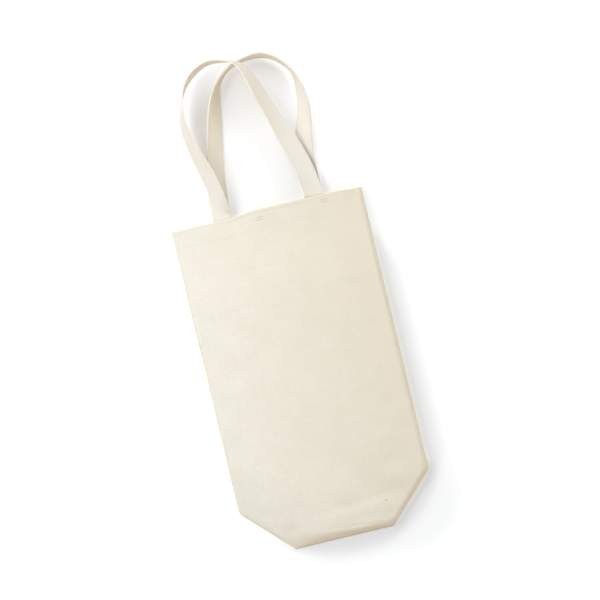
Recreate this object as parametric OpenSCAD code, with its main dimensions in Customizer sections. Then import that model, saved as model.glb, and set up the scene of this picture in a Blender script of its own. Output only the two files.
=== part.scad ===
// Cotton bag for one bottle, lying flat on its back panel with its base folded inside.
// X runs across the bag, Y towards the mouth and Z up from the surface it lies on.
// The origin is the centre of the back panel's flat underside.

/* [Bag] */
// Width of the bag lying flat
bag_w = 200; // [170:1:230]
// Height of the bag from the bottom fold to the mouth
bag_h = 350; // [300:1:400]
// Front-to-back depth of the base when the bag stands open
base_depth = 97; // [80:1:110]
// Thickness of the bag at its mouth, as it lies
bag_t = 12; // [11:0.5:16]
// Extra thickness of the body below the hem
belly = 4; // [0:0.5:6]
// Distance over which the front panel rounds down to its edges
rounding_w = 18; // [12:1:40]
// How far the front bottom fold sits back from the back one
front_setback = 1.5; // [0.5:0.5:4]

/* [Cloth] */
// Thickness of the cloth
cloth_t = 0.8; // [0.6:0.1:1]
// Gap between the two halves of the tucked base
slit_gap = 0.8; // [0.4:0.1:1.2]
// Depth of the turned hem at the mouth
hem_depth = 22; // [18:1:30]
// Distance from the bag's side to the end of the hem's turned layers
hem_inset = 2; // [1.5:0.5:4]
// Width of the allowances at the seams
seam_w = 8; // [5:1:12]

/* [Handles] */
// Width of the strap
strap_w = 20; // [18:1:24]
// Thickness of the folded strap
strap_t = 2; // [1.6:0.1:2.2]
// Spacing of a handle's two legs, centre to centre
leg_spacing = 97; // [90:1:104]
// Sideways offset of the handles from the middle of the bag, as sewn
leg_offset = 2.5; // [-4:0.5:4]
// Reach of the handles beyond the mouth
handle_reach = 159; // [140:1:180]
// Length of strap sewn inside the hem at each end
tail_l = 18; // [14:1:20]

/* [Hidden] */

// Running gap between a strap and the hem that it turns on
strap_gap = 0.3;
// Height of the standing strap's lower edge above the surface
floor_gap = 0.3;
// Clearance over the back handle where the front one crosses it
cross_gap = 1.4;
// Distance from the bottom fold to where the boxed-corner allowances have room to lie
corner_seam_start = 12;
// Distance below the hem over which the body thickens
belly_run = 70;

canvas = "#ebe4d5";
canvas_inside = "#d8cfbb";
tape = "#f0ebdf";

mouth_y = bag_h / 2;
bottom_y = -bag_h / 2;
half_w = bag_w / 2;
base_w = bag_w - base_depth;
tuck_h = base_depth / 2;
tuck_y = bottom_y + tuck_h;
front_bottom_y = bottom_y + front_setback;

// Total thickness along the folded edges: two panels, two tucked layers and the slit
edge_t = 4 * cloth_t + slit_gap;
// A turned edge is one panel with two more layers inside it
hem_t = 2 * cloth_t;
fold_r = (cloth_t + hem_t) / 2;
axis_y = mouth_y - fold_r;

// Middle heights of the two straps where they leave the mouth
back_root_z = 2 * fold_r + strap_gap + strap_t / 2;
front_root_z = bag_t - back_root_z;
// Height of the front strap's lower edge where it passes over the back handle
cross_z = floor_gap + strap_w + cross_gap;

arc_steps = 6;
panel_columns = 24;
steps_per_share = 4;
edge_bevel_share = 0.3;

// Rows of the front panel, as shares of the tucked height above the bottom fold
panel_row_shares = [0.03, 0.07, 0.13, 0.2, 0.29, 0.39, 0.5, 0.62, 0.74, 0.86, 1, 1.17, 1.35, 1.6, 2];
// Rows below the hem, as shares of the distance over which the body thickens
belly_row_shares = [1, 0.75, 0.5, 0.25, 0];

// Front handle: sideways place as a share of half the leg spacing, reach as a share of the full
// reach, rise as a share of the climb to the crossing, and tilt in degrees. A positive tilt
// lifts the inner edge of the loop.
front_loop_shares = [
    [-1, 0.02, 0, 3],
    [-1, 0.088, -0.09, 28],
    [-1.016, 0.189, 0.03, 44],
    [-1.093, 0.296, 0.17, 48],
    [-1.237, 0.453, 0.43, 57],
    [-1.33, 0.616, 0.71, 69],
    [-1.277, 0.742, 0.88, 82],
    [-1.152, 0.849, 0.99, 93],
    [-0.918, 0.931, 1.035, 100],
    [-0.546, 0.984, 1.035, 96],
    [-0.237, 0.971, 1.01, 91],
    [0.02, 0.945, 1, 79],
    [0.216, 0.862, 0.92, 61],
    [0.361, 0.73, 0.7, 51],
    [0.526, 0.585, 0.47, 43],
    [0.7, 0.428, 0.33, 27],
    [0.876, 0.252, 0.19, 18],
    [0.97, 0.113, 0.08, 12],
    [1, 0.02, 0, 2],
];

// Straight lead of the back handle out of the mouth, as a share of the full reach
lead_share = 0.02;

// Back handle: sideways place, reach and tilt. It stands on its lower edge, so its height
// follows from its tilt. A negative tilt lifts the outer edge of the loop.
back_loop_shares = [
    [-1, 0.094, -4],
    [-0.965, 0.189, -10],
    [-0.911, 0.296, -24],
    [-0.838, 0.409, -35],
    [-0.757, 0.528, -41],
    [-0.645, 0.67, -51],
    [-0.54, 0.777, -66],
    [-0.392, 0.862, -84],
    [-0.134, 0.931, -88],
    [0.155, 0.96, -87],
    [0.464, 0.973, -81],
    [0.753, 0.95, -83],
    [1, 0.888, -86],
    [1.18, 0.808, -84],
    [1.243, 0.686, -66],
    [1.212, 0.553, -48],
    [1.118, 0.44, -35],
    [1.03, 0.321, -21],
    [1, 0.201, -8],
    [1, 0.094, -3],
];

// Height gained over a distance from an edge, from 0 at the edge to 1 past the rounding
function rounding(d) = 1 - pow(max(0, 1 - max(0, d) / rounding_w), 3);

// Half width of the panels, which narrows below the tucked height
function half_width(y) = min(half_w, base_w / 2 + y - bottom_y);

// Share of the extra thickness reached at a place along the bag, from 0 at the hem
function swell(y) = pow(sin(90 * min(1, max(0, mouth_y - hem_depth - y) / belly_run)), 2);

// Height of the front panel's outer face
function panel_top(x, y) = edge_t + (bag_t - edge_t + belly * swell(y))
    * rounding(half_w - abs(x))
    * rounding((base_w / 2 + y - bottom_y - abs(x)) / sqrt(2))
    * rounding(y - front_bottom_y - cloth_t);

// Points of a half turn about a centre, from straight down through the near side to straight up
function half_turn(cy, cz, r, side) =
    [for (i = [0:arc_steps]) [cy + side * r * sin(180 * i / arc_steps), cz - r * cos(180 * i / arc_steps)]];

// Catmull-Rom curve through a list of rows, open at both ends
function curve(rows) = [
    for (i = [0:len(rows) - 2])
        for (j = [0:(i == len(rows) - 2 ? steps_per_share : steps_per_share - 1)])
            let (
                t = j / steps_per_share,
                p1 = rows[i],
                p2 = rows[i + 1],
                p0 = i == 0 ? 2 * p1 - p2 : rows[i - 1],
                p3 = i == len(rows) - 2 ? 2 * p2 - p1 : rows[i + 2]
            )
            p1 + (p2 - p0) * t / 2
                + (2 * p0 - 5 * p1 + 4 * p2 - p3) * t * t / 2
                + (3 * p1 - p0 - 3 * p2 + p3) * t * t * t / 2
];

function unit(v) = v / norm(v);
function place(row) = [row[0], row[1], row[2]];

// Cross section of the strap, across its width and through its thickness
function strap_section() =
    let (w = strap_w / 2, t = strap_t / 2, b = strap_t * edge_bevel_share)
    [[b - w, t], [-w, t - b], [-w, b - t], [b - w, -t], [w - b, -t], [w, b - t], [w, t - b], [w - b, t]];

// One ring of strap corners at a row of the curve, turned by the row's tilt
function strap_ring(row, along) =
    let (
        outward = unit(cross([0, 0, 1], along)),
        up = cross(along, outward),
        across = outward * cos(row[3]) - up * sin(row[3]),
        through = up * cos(row[3]) + outward * sin(row[3])
    )
    [for (p = strap_section()) place(row) + across * p[0] + through * p[1]];

// Faces of a tube of rings with its two ends closed
function tube_faces(rings, sides) = concat(
    [[for (k = [0:sides - 1]) k]],
    [[for (k = [0:sides - 1]) rings * sides - 1 - k]],
    [for (i = [0:rings - 2]) for (k = [0:sides - 1])
        let (a = i * sides + k, b = i * sides + (k + 1) % sides)
        each [[a, a + sides, b], [b, a + sides, b + sides]]]
);

// A strap swept along rows of place and tilt, with its ends square to the bag's mouth
module strap(rows) {
    path = curve(rows);
    last = len(path) - 1;
    rings = [for (i = [0:last])
        strap_ring(path[i], i == 0 ? [0, 1, 0] : i == last ? [0, -1, 0]
            : unit(place(path[i + 1]) - place(path[i - 1])))];
    polyhedron(points = [for (ring = rings) each ring],
        faces = tube_faces(len(rings), len(strap_section())), convexity = 6);
}

function leg_x(side_share) = leg_offset + side_share * leg_spacing / 2;
function reach_y(share) = mouth_y + share * handle_reach;
function root(side, z) = [leg_x(side), axis_y, z, 0];

function front_rows() = concat([root(-1, front_root_z)],
    [for (s = front_loop_shares)
        [leg_x(s[0]), reach_y(s[1]),
            front_root_z - strap_t / 2 + s[2] * (cross_z - front_root_z + strap_t / 2)
                + strap_w / 2 * sin(s[3]) + strap_t / 2 * abs(cos(s[3])), s[3]]],
    [root(1, front_root_z)]);

function back_lead(side) = [leg_x(side), reach_y(lead_share), back_root_z, 0];

function back_rows() = concat([root(-1, back_root_z), back_lead(-1)],
    [for (s = back_loop_shares)
        [leg_x(s[0]), reach_y(s[1]),
            floor_gap + strap_w / 2 * sin(-s[2]) + strap_t / 2 * cos(s[2]), s[2]]],
    [back_lead(1), root(1, back_root_z)]);

module front_handle() {
    color(tape) strap(front_rows());
}

module back_handle() {
    color(tape) strap(back_rows());
}

// Ends of a handle, sewn inside the hem in line with its legs
module strap_ends(z) {
    color(tape)
        for (side = [-1, 1])
            translate([leg_x(side) - strap_w / 2, axis_y - strap_gap - tail_l, z - strap_t / 2])
                cube([strap_w, tail_l, strap_t]);
}

module back_strap_ends() {
    strap_ends(back_root_z);
}

module front_strap_ends() {
    strap_ends(front_root_z);
}

module back_panel() {
    y = bottom_y + cloth_t;
    color(canvas)
        linear_extrude(cloth_t)
            polygon([[-half_width(y), y], [half_width(y), y], [half_w, tuck_y], [half_w, axis_y],
                [-half_w, axis_y], [-half_w, tuck_y]]);
}

// Curved sheet between two grids of points, closed along its four edges
module sheet(top, bottom) {
    rows = len(top);
    columns = len(top[0]);
    under = rows * columns;
    polyhedron(
        points = concat([for (row = top) each row], [for (row = bottom) each row]),
        faces = concat(
            [for (i = [0:rows - 2]) for (j = [0:columns - 2])
                let (a = i * columns + j, b = a + columns)
                each [[a, b, a + 1], [a + 1, b, b + 1],
                    [under + a, under + a + 1, under + b], [under + a + 1, under + b + 1, under + b]]],
            [for (i = [0:rows - 2])
                let (a = i * columns, b = a + columns, c = a + columns - 1, d = c + columns)
                each [[a, under + a, b], [b, under + a, under + b],
                    [c, d, under + c], [d, under + d, under + c]]],
            [for (j = [0:columns - 2])
                let (a = j, c = (rows - 1) * columns + j)
                each [[a, a + 1, under + a], [a + 1, under + a + 1, under + a],
                    [c, under + c, c + 1], [c + 1, under + c, under + c + 1]]]
        ),
        convexity = 4);
}

// Places across the bag up to a half width less the hem's inset, closer towards the sides
function stations(half) =
    [for (j = [0:panel_columns]) (half - hem_inset) * sin(180 * j / panel_columns - 90)];

module front_panel() {
    first = front_bottom_y + cloth_t;
    ys = concat([first], [for (s = panel_row_shares) first + s * tuck_h],
        [for (s = belly_row_shares) mouth_y - hem_depth - s * belly_run], [axis_y]);
    top = [for (y = ys)
        let (half = half_width(y))
        [for (x = concat([-half], stations(half), [half])) [x, y, panel_top(x, y)]]];
    color(canvas)
        sheet(top, [for (row = top) [for (p = row) p - [0, 0, cloth_t]]]);
}

// Turned edge seen from its side, hung from the outer face of its panel at height zero
function hem_section() = concat(
    [[mouth_y - hem_depth, -cloth_t - hem_t]],
    half_turn(axis_y, -fold_r, fold_r, 1),
    [[axis_y, -cloth_t], [mouth_y - hem_depth, -cloth_t]]);

module front_hem() {
    section = hem_section();
    places = stations(half_w);
    color(canvas)
        polyhedron(
            points = [for (x = places) for (p = section) [x, p[0], p[1] + panel_top(x, axis_y)]],
            faces = tube_faces(len(places), len(section)), convexity = 4);
}

// A profile in Y and Z carried across the bag
module across(width, profile) {
    translate([-width / 2, 0, 0])
        rotate([90, 0, 90])
            linear_extrude(width)
                polygon(profile);
}

module back_hem() {
    color(canvas)
        mirror([0, 0, 1])
            across(bag_w - 2 * hem_inset, hem_section());
}

// Half of the base with its rounded bottom fold, tucked up against the back panel
module base_half(fold_y) {
    across(base_w, concat(
        half_turn(fold_y + cloth_t, cloth_t, cloth_t, -1),
        [[tuck_y, 2 * cloth_t], [tuck_y, cloth_t], [fold_y + cloth_t, cloth_t]]));
}

// Carries a layer of the back to the matching place under the front panel
module front_layer() {
    translate([0, 0, edge_t])
        mirror([0, 0, 1])
            children();
}

module back_base() {
    color(canvas_inside) base_half(bottom_y);
}

module front_base() {
    color(canvas_inside) front_layer() base_half(front_bottom_y);
}

// Triangle of cloth folded in at a lower corner
module tuck_layer(fold_y) {
    translate([0, 0, cloth_t])
        linear_extrude(cloth_t)
            polygon([[base_w / 2, fold_y], [half_width(fold_y), fold_y], [half_w, tuck_y],
                [base_w / 2, tuck_y]]);
}

module right_corner_tuck() {
    color(canvas_inside) {
        tuck_layer(bottom_y + cloth_t);
        front_layer() tuck_layer(front_bottom_y + cloth_t);
    }
}

module left_corner_tuck() {
    mirror([1, 0, 0]) right_corner_tuck();
}

// Side allowances: full width below the hem, and a narrow strip beside its turned layers
module right_side_seam() {
    color(canvas_inside)
        translate([0, 0, cloth_t])
            linear_extrude(edge_t - 2 * cloth_t)
                polygon([[half_w - seam_w, tuck_y], [half_w, tuck_y], [half_w, axis_y],
                    [half_w - hem_inset, axis_y], [half_w - hem_inset, mouth_y - hem_depth],
                    [half_w - seam_w, mouth_y - hem_depth]]);
}

module left_side_seam() {
    mirror([1, 0, 0]) right_side_seam();
}

// Allowances of the seam along the ridge of the tucked base
module base_seam() {
    color(canvas_inside)
        translate([seam_w - half_w, tuck_y, cloth_t + (edge_t - 2 * cloth_t - hem_t) / 2])
            cube([bag_w - 2 * seam_w, seam_w, hem_t]);
}

// Allowances of the seam across a boxed corner, turned in over the base
module right_corner_seam() {
    start = front_bottom_y + corner_seam_start;
    color(canvas_inside)
        translate([base_w / 2 - seam_w, start, edge_t - cloth_t])
            cube([seam_w, tuck_y - start, hem_t]);
}

module left_corner_seam() {
    mirror([1, 0, 0]) right_corner_seam();
}

back_panel();
front_panel();
back_hem();
front_hem();
back_base();
front_base();
left_corner_tuck();
right_corner_tuck();
left_side_seam();
right_side_seam();
base_seam();
left_corner_seam();
right_corner_seam();
back_strap_ends();
front_strap_ends();
back_handle();
front_handle();
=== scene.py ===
"""A natural cotton bottle bag lying flat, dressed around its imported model.

The bag is two cotton panels joined at their sides, with a base that folds in, turned edges at the
mouth and two folded strap handles. Lengths are in millimetres up to the moment a mesh is filled,
where MM turns them into metres. X runs across the bag, Y towards its mouth and Z up.
"""

from __future__ import annotations

import logging
import math
from dataclasses import dataclass, field
from enum import Enum

import bpy
import numpy as np
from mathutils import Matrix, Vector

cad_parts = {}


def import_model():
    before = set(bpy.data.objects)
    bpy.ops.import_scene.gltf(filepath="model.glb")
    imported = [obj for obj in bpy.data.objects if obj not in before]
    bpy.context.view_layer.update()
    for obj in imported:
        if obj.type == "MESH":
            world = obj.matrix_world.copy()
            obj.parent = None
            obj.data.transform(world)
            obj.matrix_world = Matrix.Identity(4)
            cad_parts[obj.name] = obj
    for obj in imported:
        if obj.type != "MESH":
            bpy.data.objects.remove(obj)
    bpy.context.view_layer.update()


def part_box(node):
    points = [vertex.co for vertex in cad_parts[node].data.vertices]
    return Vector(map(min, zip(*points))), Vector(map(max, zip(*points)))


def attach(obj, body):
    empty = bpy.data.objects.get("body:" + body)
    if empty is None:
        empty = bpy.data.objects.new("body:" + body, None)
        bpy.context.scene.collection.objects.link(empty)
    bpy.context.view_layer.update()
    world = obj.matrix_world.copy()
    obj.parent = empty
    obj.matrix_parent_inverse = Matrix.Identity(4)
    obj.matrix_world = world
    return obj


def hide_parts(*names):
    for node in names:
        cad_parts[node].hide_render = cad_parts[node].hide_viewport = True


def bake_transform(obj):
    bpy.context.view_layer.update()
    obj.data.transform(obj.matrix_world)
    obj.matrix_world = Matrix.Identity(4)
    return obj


MM = 0.001
TINY = 1e-9
WEAVE_MAP = "weave"
SHARP_EDGE = math.radians(55.0)
OPENNESS_SAMPLES = 8
WHITE = (1.0, 1.0, 1.0, 1.0)
STITCH_RINGS = 7
STITCH_SIDES = 6
STITCH_TAPER = 0.7
THREAD_UP = (0.02, 0.03, 1.0)
Array = np.ndarray
log = logging.getLogger("bottle_carrier")


class Side(Enum):
    """A side of the bag, with a word of its own in the names of pieces."""

    @property
    def word(self) -> str:
        """The side's name in small letters."""
        return self.name.lower()


class Half(Side):
    """The two halves of the bag, with the direction in which each one faces out."""

    FRONT = 1.0
    BACK = -1.0

    @property
    def mirror(self) -> Array:
        """Factors that turn a height out from the middle into a height on this half."""
        return np.array([1.0, 1.0, self.value])


class Way(Side):
    """Left and right of the bag, with the sign of X there."""

    LEFT = -1.0
    RIGHT = 1.0


@dataclass(frozen=True)
class BagSizes:
    """Main sizes of the bag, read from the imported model."""

    half_width: float
    base_half: float
    mouth: float
    bottom: float
    front_bottom: float
    tuck: float
    hem: float
    layers: float
    axis: float
    front_strap: float
    back_strap: float
    tail: float
    cloth: float = 0.7
    layer: float = 0.8
    seam: float = 8.0

    @property
    def hem_depth(self) -> float:
        """Depth of the hem's inner face below the panel's outer one, three layers of cloth."""
        return self.layer * 3

    @classmethod
    def from_frame(cls) -> BagSizes:
        """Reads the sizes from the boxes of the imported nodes."""

        def corners(node: str) -> tuple[Array, Array]:
            """Lowest and highest corner of a node's box, in millimetres."""
            low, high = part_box(node)
            return np.array(low) / MM, np.array(high) / MM

        _, panel_high = corners("back_panel")
        hem_low, hem_high = corners("back_hem")
        back_low, back_high = corners("back_base")
        front_low, front_high = corners("front_base")
        front_tail_low, front_tail_high = corners("front_strap_ends")
        back_tail_low, back_tail_high = corners("back_strap_ends")
        return cls(
            half_width=float(panel_high[0]),
            base_half=float(back_high[0]),
            mouth=float(hem_high[1]),
            bottom=float(back_low[1]),
            front_bottom=float(front_low[1]),
            tuck=float(back_high[1]),
            hem=float(hem_low[1]),
            layers=float(front_high[2]),
            axis=float(panel_high[1]),
            front_strap=float(front_tail_low[2] + front_tail_high[2]) / 2,
            back_strap=float(back_tail_low[2] + back_tail_high[2]) / 2,
            tail=float(back_tail_high[1] - back_tail_low[1]),
        )


def unit(vectors: Array) -> Array:
    """Vectors of length one along the last axis.

    Args:
        vectors: Any array whose last axis has three numbers.

    Returns:
        The same directions, each divided by its length.
    """
    return vectors / np.maximum(np.linalg.norm(vectors, axis=-1, keepdims=True), TINY)


def run_along(path: Array) -> Array:
    """Distance along a path at each of its points.

    Args:
        path: Points, one row each.

    Returns:
        The running sum of the distances between neighbours, from 0.
    """
    return np.concatenate([[0], np.cumsum(np.linalg.norm(np.diff(path, axis=0), axis=1))])


def gathered(count: int) -> Array:
    """Numbers from -1 to 1 that lie closer together towards both ends, as a sine's do."""
    return np.sin(np.linspace(-math.pi / 2, math.pi / 2, count))


class Patchwork:
    """Collects patches of points and faces that make up one piece, and fills its mesh."""

    def __init__(self) -> None:
        """Starts with no patches."""
        self.points: list[Array] = []
        self.faces: list[Array] = []
        self.weave: list[Array] = []
        self.count = 0

    def add(self, points: Array, faces: list[Array], weave: list[Array]) -> None:
        """Adds one patch.

        Args:
            points: Places, one row each.
            faces: Arrays of point numbers, one row per face, counted from this patch's start.
            weave: For each array of faces, the weave coordinates of its corners.
        """
        self.points.append(points.reshape(-1, 3))
        self.faces += [f + self.count for f in faces]
        self.weave += weave
        self.count += len(self.points[-1])

    def sheet(self, outer: Array, weave: Array, thickness: float) -> None:
        """Adds a cloth as a closed sheet, from its outer face.

        The outer face is a grid of rows that run against Y and columns that run with X, so that
        its normal is the row step crossed with the column step. The inner face is the outer one
        less the thickness along that normal, and four strips close the rim.

        Args:
            outer: Grid of places on the outer face.
            weave: Grid of weave coordinates, in millimetres along the cloth.
            thickness: Thickness of the cloth.
        """
        rows, columns = outer.shape[:2]
        normal = unit(np.cross(np.gradient(outer, axis=0), np.gradient(outer, axis=1)))
        inner = outer - normal * thickness
        index = np.arange(rows * columns).reshape(rows, columns)
        a = index[:-1, :-1].ravel()
        quads = np.stack([a, a + columns, a + columns + 1, a + 1], axis=1)
        under = rows * columns
        starts = np.concatenate([index[:-1, 0], index[-1, :-1], index[1:, -1], index[0, 1:]])
        ends = np.concatenate([index[1:, 0], index[-1, 1:], index[:-1, -1], index[0, :-1]])
        rim = np.stack([ends, starts, starts + under, ends + under], axis=1)
        flat = np.concatenate([weave.reshape(-1, 2)] * 2)
        faces = [quads, quads[:, ::-1] + under, rim]
        self.add(np.concatenate([outer.reshape(-1, 3), inner.reshape(-1, 3)]), faces,
                 [flat[f] for f in faces])

    def tube(self, rings: Array, along: Array, around: Array) -> None:
        """Adds a closed tube.

        Args:
            rings: Rings of points, each one anticlockwise as seen from the tube's far end.
            along: Weave coordinate of each ring.
            around: Weave coordinate of each point round a ring, and of the return to the first.
        """
        count, sides = rings.shape[:2]
        row, column = np.meshgrid(np.arange(count - 1), np.arange(sides), indexing="ij")
        row, column = row.ravel(), column.ravel()
        nxt = (column + 1) % sides
        a, b = row * sides + column, row * sides + nxt
        quads = np.stack([a, b, b + sides, a + sides], axis=1)
        corners = np.stack([
            np.stack([along[row], around[column]], axis=1),
            np.stack([along[row], around[column + 1]], axis=1),
            np.stack([along[row + 1], around[column + 1]], axis=1),
            np.stack([along[row + 1], around[column]], axis=1)], axis=1)
        start = np.arange(sides)[None, ::-1]
        end = (np.arange(sides) + (count - 1) * sides)[None, :]
        blank = np.zeros((1, sides, 2))
        self.add(rings, [quads, start, end], [corners, blank, blank])

    def press(self) -> None:
        """Flattens what lies below height 0, as the table does to a bag that lies on it."""
        for points in self.points:
            points[:, 2] = np.maximum(points[:, 2], 0.0)

    def build(self, name: str) -> bpy.types.Object:
        """Fills a mesh with all the patches.

        Args:
            name: Name of the new object.

        Returns:
            The object, linked to the scene.
        """
        mesh = bpy.data.meshes.new(name)
        points = np.concatenate(self.points) * MM
        corners = np.concatenate([f.ravel() for f in self.faces])
        sizes = np.concatenate([np.full(len(f), f.shape[1]) for f in self.faces])
        starts = np.concatenate([[0], np.cumsum(sizes)[:-1]])
        mesh.vertices.add(len(points))
        mesh.vertices.foreach_set("co", points.astype(np.float32).ravel())
        mesh.loops.add(len(corners))
        mesh.loops.foreach_set("vertex_index", corners.astype(np.int32))
        mesh.polygons.add(len(sizes))
        mesh.polygons.foreach_set("loop_start", starts.astype(np.int32))
        layer = mesh.uv_layers.new(name=WEAVE_MAP)
        weave = np.concatenate([w.reshape(-1, 2) for w in self.weave])
        layer.data.foreach_set("uv", weave.astype(np.float32).ravel())
        mesh.polygons.foreach_set("use_smooth", np.ones(len(sizes), bool))
        mesh.update(calc_edges=True)
        mesh.validate()
        mesh.set_sharp_from_angle(angle=SHARP_EDGE)
        piece = bpy.data.objects.new(name, mesh)
        bpy.context.scene.collection.objects.link(piece)
        log.info("%s: %d points, %d faces", name, len(mesh.vertices), len(mesh.polygons))
        return piece


class Graph:
    """Short calls that add and join the nodes of one material or world."""

    def __init__(self, owner: bpy.types.Material | bpy.types.World) -> None:
        """Clears the owner's nodes.

        Args:
            owner: The new material or world.
        """
        owner.use_nodes = True
        self.owner = owner
        self.tree = owner.node_tree
        self.tree.nodes.clear()

    def node(self, kind: str, settings: dict[str, object] | None = None,
             **inputs: object) -> bpy.types.Node:
        """Adds a node.

        Args:
            kind: Blender's name of the node's type.
            settings: Properties of the node itself.
            **inputs: Values or sockets for its inputs, with spaces written as underscores.

        Returns:
            The node.
        """
        made = self.tree.nodes.new(kind)
        for key, value in (settings or {}).items():
            setattr(made, key, value)
        for key, value in inputs.items():
            self.join(value, made.inputs[key.replace("_", " ")])
        return made

    def join(self, value: object, socket: bpy.types.NodeSocket) -> None:
        """Feeds an input from a socket, or sets it to a value.

        Args:
            value: A socket or a value.
            socket: The input.
        """
        if isinstance(value, bpy.types.NodeSocket):
            self.tree.links.new(value, socket)
        else:
            socket.default_value = value

    def math(self, operation: str, *values: object) -> bpy.types.NodeSocket:
        """Adds a Math node.

        Args:
            operation: Its operation.
            *values: Its one to three inputs.

        Returns:
            Its result.
        """
        return self.operate("ShaderNodeMath", operation, values).outputs[0]

    def vector_math(self, operation: str, *values: object) -> bpy.types.Node:
        """Adds a Vector Math node and returns it, since its result is in either output."""
        return self.operate("ShaderNodeVectorMath", operation, values)

    def operate(self, kind: str, operation: str, values: tuple[object, ...]) -> bpy.types.Node:
        """Adds a node that does one operation.

        Args:
            kind: Blender's name of the node's type.
            operation: Its operation.
            values: Its inputs, in their order.

        Returns:
            The node.
        """
        made = self.node(kind, {"operation": operation})
        for socket, value in zip(made.inputs, values):
            self.join(value, socket)
        return made

    def openness(self, reach: float) -> bpy.types.NodeSocket:
        """Adds a node that gives the share of open space within a reach in millimetres."""
        return self.node("ShaderNodeAmbientOcclusion", {"samples": OPENNESS_SAMPLES},
                         Distance=reach * MM).outputs["AO"]

    def seen(self) -> bpy.types.NodeSocket:
        """Adds nodes that are 1 for rays that show a thing and 0 for rays that light one."""
        path = self.node("ShaderNodeLightPath")
        value = path.outputs["Is Camera Ray"]
        for name in ("Is Glossy Ray", "Is Transmission Ray"):
            value = self.math("MAXIMUM", value, path.outputs[name])
        return value

    def noise(self, vector: bpy.types.NodeSocket, scale: float, detail: float = 2.0
              ) -> bpy.types.NodeSocket:
        """Adds a noise and returns its value, which lies around a half.

        Args:
            vector: Coordinates.
            scale: Number of cells per unit of the coordinates.
            detail: Octaves of finer noise.

        Returns:
            The noise value.
        """
        return self.node("ShaderNodeTexNoise", Vector=vector, Scale=scale, Detail=detail
                         ).outputs["Fac"]

    def stretched(self, vector: bpy.types.NodeSocket, x: float, y: float
                  ) -> bpy.types.NodeSocket:
        """Scales coordinates by different amounts across and along.

        Args:
            vector: Coordinates.
            x: Scale of the first one.
            y: Scale of the second one.

        Returns:
            The scaled coordinates.
        """
        return self.node("ShaderNodeMapping", Vector=vector, Scale=(x, y, 1.0)).outputs[0]

    def ramp(self, value: bpy.types.NodeSocket, low: float, high: float,
             out_low: float = 0.0, out_high: float = 1.0) -> bpy.types.NodeSocket:
        """Maps a value smoothly from one range to another, and stops at its ends.

        Args:
            value: The value.
            low: Start of its range.
            high: End of its range.
            out_low: Result at the start.
            out_high: Result at the end.

        Returns:
            The mapped value.
        """
        made = self.node("ShaderNodeMapRange", {"interpolation_type": "SMOOTHSTEP"})
        for socket, number in zip(made.inputs, (value, low, high, out_low, out_high)):
            self.join(number, socket)
        return made.outputs[0]

    def mix(self, share: object, first: object, second: object) -> bpy.types.NodeSocket:
        """Mixes two colours.

        Args:
            share: Share of the second one.
            first: Colour at share 0.
            second: Colour at share 1.

        Returns:
            The mixed colour.
        """
        made = self.node("ShaderNodeMix", {"data_type": "RGBA"})
        self.join(share, made.inputs["Factor"])
        self.join(first, made.inputs[6])
        self.join(second, made.inputs[7])
        return made.outputs[2]

    def finish(self, shader: bpy.types.NodeSocket, output: str = "ShaderNodeOutputMaterial"
               ) -> bpy.types.Material | bpy.types.World:
        """Joins a shader to the output.

        Args:
            shader: The shader's socket.
            output: Blender's name of the output node's type.

        Returns:
            The finished material or world.
        """
        self.join(shader, self.node(output).inputs["Surface"])
        return self.owner


def linear(red: int, green: int, blue: int) -> tuple[float, ...]:
    """Turns a screen colour into a linear one.

    Args:
        red: 0 to 255.
        green: 0 to 255.
        blue: 0 to 255.

    Returns:
        The linear colour: a channel over 0.04045 is ((c + 0.055) / 1.055) to the power 2.4.
    """
    shares = [c / 255 for c in (red, green, blue)]
    return (*[c / 12.92 if c <= 0.04045 else ((c + 0.055) / 1.055) ** 2.4 for c in shares], 1.0)


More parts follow.
